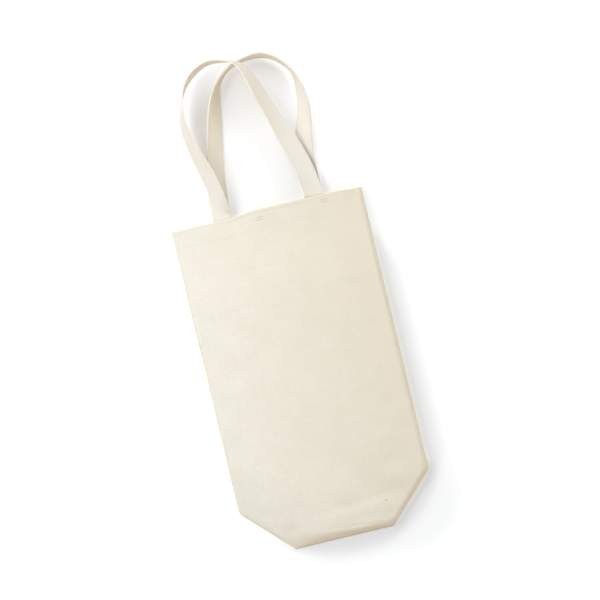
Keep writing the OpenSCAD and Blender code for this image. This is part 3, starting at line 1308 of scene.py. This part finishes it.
def stitches(patch: Patchwork, centres: Array, along: Array, normal: Array, length: float,
             radius: float = 0.19, rise: float = 0.1) -> None:
    """Adds one stitch at each centre.

    A stitch is a short tube of rings. Its middle line is level in the middle and dips into the
    cloth at both ends with the fourth power of the share of its half length, and its radius
    shrinks towards the ends as an ellipse does.

    Args:
        patch: The patchwork to add to.
        centres: Place of each stitch on the cloth's face.
        along: Direction of each stitch.
        normal: Direction out of the cloth at each stitch.
        length: Length of a stitch.
        radius: Radius of the thread.
        rise: Height of the middle line over the cloth.
    """
    share = np.linspace(-1, 1, STITCH_RINGS)
    angle = np.arange(STITCH_SIDES) / STITCH_SIDES * math.tau
    along, normal = unit(along), unit(normal)
    side = np.cross(normal, along)
    spine = (centres[:, None] + along[:, None] * (share * length / 2)[None, :, None]
             + normal[:, None] * (rise - (rise + radius) * share ** 4)[None, :, None])
    size = radius * np.sqrt(1 - STITCH_TAPER * share ** 2)
    rings = (spine[:, :, None]
             + side[:, None, None] * (size[:, None] * np.cos(angle))[None, :, :, None]
             + normal[:, None, None] * (size[:, None] * np.sin(angle))[None, :, :, None])
    around = np.arange(STITCH_SIDES + 1) / STITCH_SIDES * math.tau * radius
    for ring in rings:
        patch.tube(ring, share * length / 2, around)


@dataclass(frozen=True)
class HemStitching:
    """Rows of stitches across a panel near the mouth, which hold the hem and the strap ends."""

    panel: Panel
    depths: tuple[float, ...] = (3.2, 19.6)
    margin: float = 7.0
    pitch: float = 3.1
    stitch: float = 2.5
    sink: float = 0.06

    def build(self) -> bpy.types.Object:
        """Makes the stitches on the panel's outer face and on the hem's inner face."""
        bag = self.panel.bag
        patch = Patchwork()
        half = bag.half_width - self.margin
        x = np.arange(-half, half, self.pitch)
        one, none = np.ones(len(x)), np.zeros(len(x))
        for depth in self.depths:
            y = np.full(len(x), bag.mouth - depth)
            slope = (self.panel.top(x + 1, y) - self.panel.top(x - 1, y)) / 2
            along = np.column_stack([one, none, slope]) * self.panel.half.mirror
            normal = np.column_stack([-slope, none, one]) * self.panel.half.mirror
            for below, out in ((self.sink, normal), (bag.hem_depth - self.sink, -normal)):
                stitches(patch, self.panel.under(x, y, below), along, out, self.stitch)
        patch.press()
        return patch.build(f"{self.panel.half.word}_hem_stitching")


@dataclass(frozen=True)
class MouthTacks:
    """Two short tacks of a few stitches just under the mouth, where a seam was started."""

    panel: Panel
    places: tuple[tuple[float, float], ...] = ((-8.4, 165.2), (60.0, 168.0))
    rows: int = 2
    per_row: int = 3
    pitch: float = 2.4
    spacing: float = 2.6
    direction: tuple[float, float, float] = (1.0, 0.25, 0.0)
    stitch: float = 1.9
    radius: float = 0.24
    rise: float = 0.14

    def build(self) -> bpy.types.Object:
        """Makes the tacks."""
        patch = Patchwork()
        column, row = np.meshgrid(np.arange(self.per_row), np.arange(self.rows))
        for x, y in self.places:
            across = x + (column.ravel() - (self.per_row - 1) / 2) * self.pitch
            along = y + (row.ravel() - (self.rows - 1) / 2) * self.spacing
            count = len(across)
            stitches(patch, self.panel.under(across, along, 0.0),
                     np.tile(self.direction, (count, 1)), np.tile([0.0, 0.0, 1.0], (count, 1)),
                     self.stitch, self.radius, self.rise)
        return patch.build("mouth_tacks")


@dataclass(frozen=True)
class Strap:
    """A handle: a folded cotton strap that leaves the mouth, stands up in a loop and comes back.

    Rows hold the place across, the place along, the height and the tilt in degrees.
    """

    bag: BagSizes
    half: Half
    rows: Array
    width: float = 20.0
    thickness: float = 2.0
    stitch_inset: float = 2.0
    smoothing: float = 7.0
    bell_reach: float = 3.0
    ease_run: float = 12.0
    step: float = 1.3
    curve_steps: int = 24
    groove: float = 0.05
    groove_width: float = 0.5
    groove_marks: tuple[float, ...] = (-1.1, -0.7, -0.35, 0.0, 0.35, 0.7)
    flat_marks: int = 13
    edge_radius: float = 0.55
    edge_angles: tuple[float, ...] = (22, 44, 66, 89)
    nick: float = 0.3
    wobbles: tuple[tuple[float, float, float], ...] = ((0.012, 17.0, 0.0), (0.008, 6.1, 1.0))
    pitch: float = 3.0
    stitch: float = 2.45
    stitch_margin: float = 2.0
    stitch_sink: float = 0.03
    stitch_radius: float = 0.15
    stitch_rise: float = 0.06

    def path(self) -> Array:
        """Middle line with its tilt, evenly spaced.

        A Catmull-Rom curve through the rows, with a straight tail at each end: a point between
        two rows is a cubic of the four rows round it.

        Returns:
            Rows of place and tilt.
        """
        rows = self.rows
        ends = np.concatenate([[2 * rows[0] - rows[1]], rows, [2 * rows[-1] - rows[-2]]])
        t = (np.arange(self.curve_steps) / self.curve_steps)[None, :, None]
        p0, p1, p2, p3 = (ends[i:len(rows) - 1 + i, None] for i in range(4))
        curve = (p1 + (p2 - p0) * t / 2 + (2 * p0 - 5 * p1 + 4 * p2 - p3) * t ** 2 / 2
                 + (3 * p1 - p0 - 3 * p2 + p3) * t ** 3 / 2).reshape(-1, 4)
        curve = np.concatenate([curve, rows[-1:]])
        tail = np.array([0.0, -self.bag.tail, 0.0, 0.0])
        curve = np.concatenate([[curve[0] + tail], curve, [curve[-1] + tail]])
        run = run_along(curve[:, :3])
        even = np.linspace(0, run[-1], int(run[-1] / self.step))
        return self.eased(np.column_stack([np.interp(even, run, curve[:, k]) for k in range(4)]))

    def eased(self, path: Array) -> Array:
        """Path with its bends eased.

        Each row is twice the bell-weighted mean of the rows round it, less the mean of those
        means, which keeps wide bends where they were. Near the hem the path stays as it was.
        """
        reach = int(self.bell_reach * self.smoothing / self.step)
        weights = np.exp(-0.5 * (np.arange(-reach, reach + 1) * self.step / self.smoothing) ** 2)
        weights /= weights.sum()
        doubled = 2 * np.eye(1, 2 * reach + 1, reach)[0]
        weights = np.convolve(weights, doubled - weights)
        padded = np.pad(path, ((2 * reach, 2 * reach), (0, 0)), mode="reflect", reflect_type="odd")
        mean = np.column_stack([np.convolve(padded[:, k], weights, "valid") for k in range(4)])
        run = np.arange(len(path)) * self.step
        away = np.clip((np.minimum(run, run[-1] - run) - self.bag.tail) / self.ease_run, 0, 1)
        return path + (mean - path) * away[:, None]

    def axes(self, path: Array) -> tuple[Array, Array, Array]:
        """Directions along, across and through the strap.

        Outward is the vertical crossed with the path, and up is the path crossed with outward.
        The tilt turns both about the path.

        Args:
            path: Rows of place and tilt.

        Returns:
            Along, across and through, one row each.
        """
        along = unit(np.gradient(path[:, :3], axis=0))
        outward = unit(np.cross(np.array([0.0, 0.0, 1.0]), along))
        up = np.cross(along, outward)
        tilt = np.radians(path[:, 3])[:, None]
        return (along, outward * np.cos(tilt) - up * np.sin(tilt),
                up * np.cos(tilt) + outward * np.sin(tilt))

    def half_thickness(self, across: Array) -> Array:
        """Half the thickness at a place across: rounded edges, and two stitched grooves."""
        w, t, r = self.width / 2, self.thickness / 2, self.edge_radius
        beyond = np.clip((np.abs(across) - (w - r)) / r, 0, 1)
        off = (np.abs(across) - (w - self.stitch_inset)) / self.groove_width
        return t - r + r * np.sqrt(1 - beyond ** 2) - self.groove * np.exp(-off ** 2)

    def section(self) -> Array:
        """Closed cross section, anticlockwise, with the open fold as a nick in its inner edge."""
        w, r = self.width / 2, self.edge_radius
        line = w - self.stitch_inset
        near = line + np.array(self.groove_marks)
        flat = np.concatenate([np.linspace(r - w, w - r, self.flat_marks), near, -near])
        flat = np.unique(np.round(flat, 3))
        round_edge = w - r + r * np.sin(np.radians(self.edge_angles))
        across = np.concatenate([-round_edge[::-1], flat, round_edge])
        height = self.half_thickness(across)
        top = np.column_stack([across[::-1], height[::-1]])
        bottom = np.column_stack([across, -height])
        return np.concatenate([top, [[-w + self.nick, 0.0]], bottom, [[w, 0.0]]])

    def build(self) -> bpy.types.Object:
        """Makes the strap."""
        path = self.path()
        _, across, through = self.axes(path)
        section = self.section()
        run = np.arange(len(path)) * self.step
        wobble = sum((size * np.sin(run / length + turn) for size, length, turn in self.wobbles),
                     1.0)
        width = section[:, 0][None] * wobble[:, None]
        rings = (path[:, None, :3] + across[:, None] * width[..., None]
                 + through[:, None] * section[:, 1][None, :, None])
        patch = Patchwork()
        patch.tube(rings, run, run_along(np.concatenate([section, section[:1]])))
        return patch.build(f"{self.half.word}_strap")

    def stitching(self) -> bpy.types.Object:
        """Makes the stitches along both edges, on both faces."""
        path = self.path()
        along, across, through = self.axes(path)
        run = np.arange(len(path)) * self.step
        at = np.arange(self.stitch_margin, run[-1] - self.stitch_margin, self.pitch)

        centre, forward, sideways, out = (
            np.column_stack([np.interp(at, run, values[:, k]) for k in range(3)])
            for values in (path, along, across, through))
        inset = self.width / 2 - self.stitch_inset
        depth = float(self.half_thickness(np.array([inset]))[0]) - self.stitch_sink
        patch = Patchwork()
        for edge in (-1, 1):
            for face in (-1, 1):
                place = centre + sideways * edge * inset + out * face * depth
                stitches(patch, place, forward, out * face, self.stitch, self.stitch_radius,
                         self.stitch_rise)
        return patch.build(f"{self.half.word}_strap_stitching")


@dataclass(frozen=True)
class Handles:
    """Both handles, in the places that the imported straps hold.

    A row of the front one's shares holds the place across as a share of half the legs' spacing,
    the place past the mouth as a share of the reach, the rise as a share of the climb and the
    tilt in degrees. The back one's rows have no rise, since it stands on its edge.
    """

    bag: BagSizes
    leg_offset: float = 2.5
    leg_spacing: float = 97.0
    reach: float = 159.0
    floor_gap: float = 0.3
    cross_gap: float = 1.4
    lead_share: float = 0.02
    width: float = 20.0
    thickness: float = 2.0
    front_shares: tuple[tuple[float, float, float, float], ...] = (
        (-1, 0.02, 0, 3), (-1, 0.088, -0.09, 28), (-1.016, 0.189, 0.03, 44),
        (-1.093, 0.296, 0.17, 48), (-1.237, 0.453, 0.43, 57), (-1.33, 0.616, 0.71, 69),
        (-1.277, 0.742, 0.88, 82), (-1.152, 0.849, 0.99, 93), (-0.918, 0.931, 1.035, 100),
        (-0.546, 0.984, 1.035, 96), (-0.237, 0.971, 1.01, 91), (0.02, 0.945, 1, 79),
        (0.216, 0.862, 0.92, 61), (0.361, 0.73, 0.7, 51), (0.526, 0.585, 0.47, 43),
        (0.7, 0.428, 0.33, 27), (0.876, 0.252, 0.19, 18), (0.97, 0.113, 0.08, 12),
        (1, 0.02, 0, 2))
    back_shares: tuple[tuple[float, float, float], ...] = (
        (-1, 0.094, -4), (-0.965, 0.189, -10), (-0.911, 0.296, -24), (-0.838, 0.409, -35),
        (-0.757, 0.528, -41), (-0.645, 0.67, -51), (-0.54, 0.777, -66), (-0.392, 0.862, -84),
        (-0.134, 0.931, -88), (0.155, 0.96, -87), (0.464, 0.973, -81), (0.753, 0.95, -83),
        (1, 0.888, -86), (1.18, 0.808, -84), (1.243, 0.686, -66), (1.212, 0.553, -48),
        (1.118, 0.44, -35), (1.03, 0.321, -21), (1, 0.201, -8), (1, 0.094, -3))

    def leg(self, share: Array | float) -> Array | float:
        """Place across the bag of a share of half the legs' spacing."""
        return self.leg_offset + share * self.leg_spacing / 2

    def root(self, share: float, height: float, along: float) -> Array:
        """Row where a leg leaves the mouth."""
        return np.array([[self.leg(share), along, height, 0.0]])

    def loop(self, share: Array, height: Array) -> Array:
        """Rows of a loop, from its table of shares and its heights."""
        return np.column_stack([self.leg(share[:, 0]), self.bag.mouth + share[:, 1] * self.reach,
                                height, share[:, -1]])

    def front(self) -> Strap:
        """The front handle: its rise is a share of the climb to the crossing."""
        share = np.array(self.front_shares, float)
        tilt = np.radians(share[:, 3])
        floor = self.bag.front_strap - self.thickness / 2
        climb = self.floor_gap + self.width + self.cross_gap - floor
        height = (floor + share[:, 2] * climb + self.width / 2 * np.sin(tilt)
                  + self.thickness / 2 * np.abs(np.cos(tilt)))
        ends = [self.root(side, self.bag.front_strap, self.bag.axis) for side in (-1, 1)]
        rows = np.concatenate([ends[0], self.loop(share, height), ends[1]])
        return Strap(self.bag, Half.FRONT, rows, self.width, self.thickness)

    def back(self) -> Strap:
        """The back handle: it stands on its lower edge, so its height follows from its tilt."""
        share = np.array(self.back_shares, float)
        tilt = np.radians(share[:, 2])
        height = (self.floor_gap + self.width / 2 * np.abs(np.sin(tilt))
                  + self.thickness / 2 * np.cos(tilt))
        lead = self.bag.mouth + self.lead_share * self.reach
        ends = [[self.root(side, self.bag.back_strap, along) for along in (self.bag.axis, lead)]
                for side in (-1, 1)]
        rows = np.concatenate([*ends[0], self.loop(share, height), *ends[1][::-1]])
        return Strap(self.bag, Half.BACK, rows, self.width, self.thickness)


@dataclass(frozen=True)
class SoftBox:
    """A round diffusing lamp that looks at the bag.

    The direction towards it is given across and along the bag. Its level is the brightness that
    it alone would give a white surface facing up at the bag's middle.
    """

    name: str
    towards: tuple[float, float]
    zenith: float
    distance: float
    size: float
    level: float
    color: tuple[float, float, float]

    def build(self) -> None:
        """Makes the lamp.

        Its power is its level times pi squared times the distance squared, over the cosine of
        its angle from the vertical.
        """
        zenith = math.radians(self.zenith)
        flat = unit(np.array([*self.towards, 0.0]))
        towards = flat * math.sin(zenith) + np.array([0.0, 0.0, math.cos(zenith)])
        distance = self.distance * MM
        data = bpy.data.lights.new(self.name, "AREA")
        data.shape = "DISK"
        data.size = self.size * MM
        data.energy = self.level * math.pi ** 2 * distance ** 2 / math.cos(zenith)
        data.color = self.color
        lamp = bpy.data.objects.new(self.name, data)
        lamp.location = tuple(towards * distance)
        lamp.rotation_euler = (0.0, zenith, math.atan2(flat[1], flat[0]))
        bpy.context.scene.collection.objects.link(lamp)


@dataclass(frozen=True)
class Studio:
    """White table top, three soft lamps and a camera above.

    The key lamp stands at the left, a warm fill beyond the mouth and a weak side lamp at the
    right. Rows of painted shade oblongs hold the middle, half width and half length of an oblong
    on the table top, and where beside it the glow starts to grow and over what run, so that the
    lower glow near the bag and the loops is painted shade. Rows of painted shadows hold the same
    and by how much the glow is lowered: painted shadow that is laid out for the rest pose.
    Painted contact light is glow added where a piece is close above.
    """

    turn: float = 13.5
    centre: tuple[float, float] = (12.0, 73.8)
    view_width: float = 617.4
    view_height: float = 12.0
    distance: float = 2500.0
    sensor: float = 36.0
    key: SoftBox = SoftBox("key", (-19.0, 8.0), 35.0, 1100.0, 640.0, 0.25, (0.985, 0.992, 1.0))
    fill: SoftBox = SoftBox("fill", (-5.0, 19.0), 55.0, 2200.0, 1300.0, 0.14, (1.0, 0.985, 0.96))
    side: SoftBox = SoftBox("side", (19.0, 5.0), 62.0, 2200.0, 1300.0, 0.08, (1.0, 0.985, 0.95))
    sky_level: float = 0.54
    sky: tuple[float, ...] = (0.985, 0.985, 0.985, 1.0)
    floor_bounce: tuple[float, ...] = (0.92, 0.85, 0.73, 1.0)
    floor_seen: tuple[float, ...] = (0.84, 0.85, 0.865, 1.0)
    floor_glow: float = 0.19
    glow_gain: float = 0.3
    painted_shade_oblongs: tuple[tuple[float, ...], ...] = ((34.0, -8.0, 36.0, 140.0, 40.0, 70.0),
                                             (0.0, 240.0, 2.0, 40.0, 50.0, 16.0))
    painted_shadows: tuple[tuple[float, ...], ...] = ((4.0, 300.0, 34.0, 16.0, 0.0, 34.0, 0.08),
                                             (12.6, -12.6, 4.6, 79.8, 94.8, 14.0, 0.11))
    painted_contact_light: float = 0.26
    painted_contact_light_reach: float = 9.0
    painted_contact_light_range: tuple[float, float] = (0.9, 0.5)
    floor_size: float = 9000.0
    floor_points: int = 9
    floor_thickness: float = 4.0
    floor_drop: float = 0.25
    farthest: float = 100.0

    def camera(self) -> None:
        """Makes the camera, looking straight down, with the picture turned against the bag."""
        data = bpy.data.cameras.new("camera")
        data.sensor_width = self.sensor
        data.lens = self.sensor * self.distance / self.view_width
        data.clip_end = self.farthest
        eye = bpy.data.objects.new("camera", data)
        eye.location = (self.centre[0] * MM, self.centre[1] * MM,
                        (self.distance + self.view_height) * MM)
        eye.rotation_euler = (0.0, 0.0, -math.radians(self.turn))
        bpy.context.scene.collection.objects.link(eye)
        bpy.context.scene.camera = eye

    def world(self) -> None:
        """Makes the sky: pale and even as a light, and white where it is seen."""
        g = Graph(bpy.data.worlds.new("sky"))
        light = g.node("ShaderNodeBackground", Color=self.sky, Strength=self.sky_level)
        white = g.node("ShaderNodeBackground", Color=WHITE)
        mixed = g.node("ShaderNodeMixShader")
        for socket, value in zip(mixed.inputs, (g.seen(), light.outputs[0], white.outputs[0])):
            g.join(value, socket)
        bpy.context.scene.world = g.finish(mixed.outputs[0], "ShaderNodeOutputWorld")

    def beside(self, g: Graph, oblong: tuple[float, ...]) -> bpy.types.NodeSocket:
        """Adds nodes that give the distance in metres from an oblong on the table top.

        Args:
            g: The floor's graph.
            oblong: Place of its middle across and along, its half width and its half length.

        Returns:
            The distance: the length of what the place, taken to one quarter, lies beyond the
            half width and the half length.
        """
        place = g.node("ShaderNodeNewGeometry").outputs["Position"]
        parts = g.node("ShaderNodeSeparateXYZ", Vector=place)
        squares = []
        for axis, middle, half in zip("XY", oblong[:2], oblong[2:]):
            off = g.math("ABSOLUTE", g.math("SUBTRACT", parts.outputs[axis], middle * MM))
            beyond = g.math("MAXIMUM", g.math("SUBTRACT", off, half * MM), 0.0)
            squares.append(g.math("MULTIPLY", beyond, beyond))
        return g.math("SQRT", g.math("ADD", *squares))

    def floor(self) -> None:
        """Makes the table top.

        It throws light back as a warm white surface does. Where it is seen, part of its white is
        a glow, so that shadows on it stay pale. The glow grows away from the bag and the loops, so
        that it paints shade round them, is lifted as painted light where a piece is close above,
        and is lowered in the painted shadows.
        """
        g = Graph(bpy.data.materials.new("table_top"))
        seen = g.seen()
        paint = g.node("ShaderNodeBsdfDiffuse",
                       Color=g.mix(seen, self.floor_bounce, self.floor_seen))
        # Painted shade: the glow is lower near the bag and the loops and grows away from them.
        away = g.math("MINIMUM", *[
            g.ramp(self.beside(g, oblong), start * MM, (start + run) * MM)
            for *oblong, start, run in self.painted_shade_oblongs])
        level = g.math("MULTIPLY_ADD", away, self.glow_gain, self.floor_glow)
        # Painted light: glow is added where a piece is close above, which lightens the contact
        # shadow.
        painted_contact_glow = g.ramp(g.openness(self.painted_contact_light_reach), *self.painted_contact_light_range, 0.0, self.painted_contact_light)
        level = g.math("ADD", level, painted_contact_glow)
        # Painted shadow: the glow is lowered in oblongs laid out for the rest pose.
        for *oblong, start, run, depth in self.painted_shadows:
            less = g.ramp(self.beside(g, oblong), start * MM, (start + run) * MM, -depth, 0.0)
            level = g.math("ADD", level, less)
        glow = g.node("ShaderNodeEmission", Color=WHITE, Strength=g.math("MULTIPLY", seen, level))
        both = g.node("ShaderNodeAddShader")
        for socket, shader in zip(both.inputs, (paint, glow)):
            g.join(shader.outputs[0], socket)
        half = self.floor_size / 2
        grid = np.linspace(-half, half, self.floor_points)
        x, y = np.meshgrid(grid, -grid)
        patch = Patchwork()
        patch.sheet(np.stack([x, y, np.full(x.shape, -self.floor_drop)], axis=-1),
                    np.stack([x, y], axis=-1), self.floor_thickness)
        floor = patch.build("table_top")
        floor.data.materials.append(g.finish(both.outputs[0]))

    def build(self) -> None:
        """Makes the whole studio."""
        self.camera()
        for lamp in (self.key, self.fill, self.side):
            lamp.build()
        self.world()
        self.floor()
        bpy.context.scene.view_settings.view_transform = "Standard"


@dataclass(frozen=True)
class Finishes:
    """All the finishes of the bag."""

    # The canvas is painted darker towards the right, and the canvas and the strap carry painted
    # shade on their lee faces and in tight places.
    canvas: Cotton = Cotton("canvas", linear(250, 248, 239), linear(239, 229, 208),
                            translucency=0.15, painted_side_shade=0.22, seed=(50.0, -147.0), painted_occlusion=0.15,
                            painted_occlusion_reach=6.0, painted_lee_shade=0.42)
    inside: Cotton = Cotton("canvas_inside", linear(242, 233, 214), linear(228, 215, 190))
    strap: Cotton = Cotton("strap_cotton", linear(251, 248, 241), linear(245, 239, 227),
                           translucency=0.35, relief=0.08, painted_lee_shade=0.35, painted_lee_shade_way=(0.45, -0.89, 0.0),
                           painted_occlusion=0.7, painted_occlusion_open=0.75, painted_occlusion_closed=0.3)
    thread: Thread = Thread("sewing_thread", linear(246, 241, 229), linear(226, 216, 196))
    tack: Thread = Thread("tack_thread", linear(214, 192, 164), linear(180, 152, 124))


@dataclass
class BottleBag:
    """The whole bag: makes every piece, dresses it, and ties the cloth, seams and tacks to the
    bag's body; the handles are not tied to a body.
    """

    sizes: BagSizes
    finishes: Finishes = field(default_factory=Finishes)
    mouth_thickness: float = 12.0
    belly: float = 4.0
    edge_lift: float = 0.4
    blend_before: float = 3.0
    blend_after: float = 6.0

    def dress(self, piece: bpy.types.Object, material: bpy.types.Material, slot: str,
              *nodes: str) -> bpy.types.Object:
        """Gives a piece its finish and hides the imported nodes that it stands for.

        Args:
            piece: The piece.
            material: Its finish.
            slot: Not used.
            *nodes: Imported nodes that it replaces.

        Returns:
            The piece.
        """
        piece.data.materials.append(material)
        if nodes:
            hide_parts(*nodes)
        return piece

    def panels(self) -> tuple[Panel, Panel]:
        """Shapes of the front and the back cloth."""
        bag = self.sizes
        outline = Outline(bag)
        middle = bag.layers / 2
        slit = bag.layer / 2
        front = Panel(
            bag, outline, Half.FRONT, bag.front_bottom - outline.ease,
            edge_height=bag.layers + self.edge_lift,
            crown=self.mouth_thickness - bag.layers - self.edge_lift, belly=self.belly,
            seam_height=middle, slit_height=middle + slit, flat_share=0.75,
            ripples=Ripples(11, 14, 90.0, 14.0, 0.2),
            dents=(
                Dent(54.8, 31.8, 11, 7, 60, -0.9), Dent(47.0, 144.8, 9, 6, 20, -1.0),
                Dent(27.2, 154.8, 8, 5, 0, -0.8), Dent(57.0, 105.0, 14, 6, -25, -0.9),
                Dent(72.0, 84.0, 15, 6, -20, 0.7), Dent(-17.0, 131.0, 9, 8, 0, -0.7),
                Dent(79.0, -48.0, 12, 7, 40, -0.8), Dent(60.0, -35.0, 9, 7, -30, -0.8),
                Dent(61.8, -71.5, 10, 7, 20, -0.8), Dent(64.6, -108.0, 10, 7, -10, -0.8),
                Dent(72.0, -10.0, 16, 6, 70, 0.6), Dent(88.8, 163.5, 8, 6, 75, -1.5),
                Dent(16.0, -165.6, 42, 1.5, -6.5, -0.5), Dent(28.0, -141.0, 44, 5, 5.5, -0.8),
                Dent(30.0, -152.0, 46, 6, 4, 0.6), Dent(-58.0, -146.0, 6, 3, 45, 0.6),
                Dent(-70.0, -133.0, 5, 3, -20, -0.6), Dent(-50.0, -155.0, 6, 3, 30, -0.6),
                Dent(95.0, -120.0, 6, 4, 80, 1.0), Dent(15.0, 170.6, 95, 0.8, 0, -0.25)))
        back = Panel(
            bag, outline, Half.BACK, bag.bottom - outline.ease, edge_height=0.0, crown=0.0,
            seam_height=-middle, slit_height=-(middle - slit),
            ripples=Ripples(23, 12, 80.0, 16.0, 0.05))
        return front, back

    def build(self) -> None:
        """Makes the bag."""
        bag = self.sizes
        canvas = self.finishes.canvas.material()
        inside = self.finishes.inside.material()
        strap = self.finishes.strap.material()
        cord = self.finishes.thread.material()
        front, back = self.panels()
        for panel in (front, back):
            name = panel.half.word
            cloth = self.dress(panel.build(), canvas, "canvas", f"{name}_panel")
            hem = self.dress(Hem(panel).build(), inside, "canvas_turned", f"{name}_hem")
            sewing = self.dress(HemStitching(panel).build(), cord, "canvas")
            for piece in (cloth, hem, sewing):
                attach(piece, "bag")
            if panel is front:
                tacks = self.dress(MouthTacks(front).build(), self.finishes.tack.material(),
                                   "canvas")
                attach(tacks, "bag")
        base = FoldedBase(bag, front.outline, front, back).build()
        for node, piece in base.items():
            self.dress(piece, inside, "canvas_inside", node)
            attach(piece, "bag")
        handles = Handles(bag)
        for handle in (handles.front(), handles.back()):
            name = handle.half.word
            tape = self.dress(handle.build(), strap, "strap", f"{name}_handle",
                              f"{name}_strap_ends")
            sewing = self.dress(handle.stitching(), cord, "strap")
            length = len(handle.path()) * handle.step
            log.info("%s handle: %.0f mm of strap", name, length)
            for piece in (tape, sewing):
                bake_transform(piece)


def main() -> None:
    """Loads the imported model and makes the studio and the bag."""
    logging.basicConfig(level=logging.INFO, format="%(name)s: %(message)s")
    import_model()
    Studio().build()
    BottleBag(BagSizes.from_frame()).build()


if __name__ == "__main__":
    main()
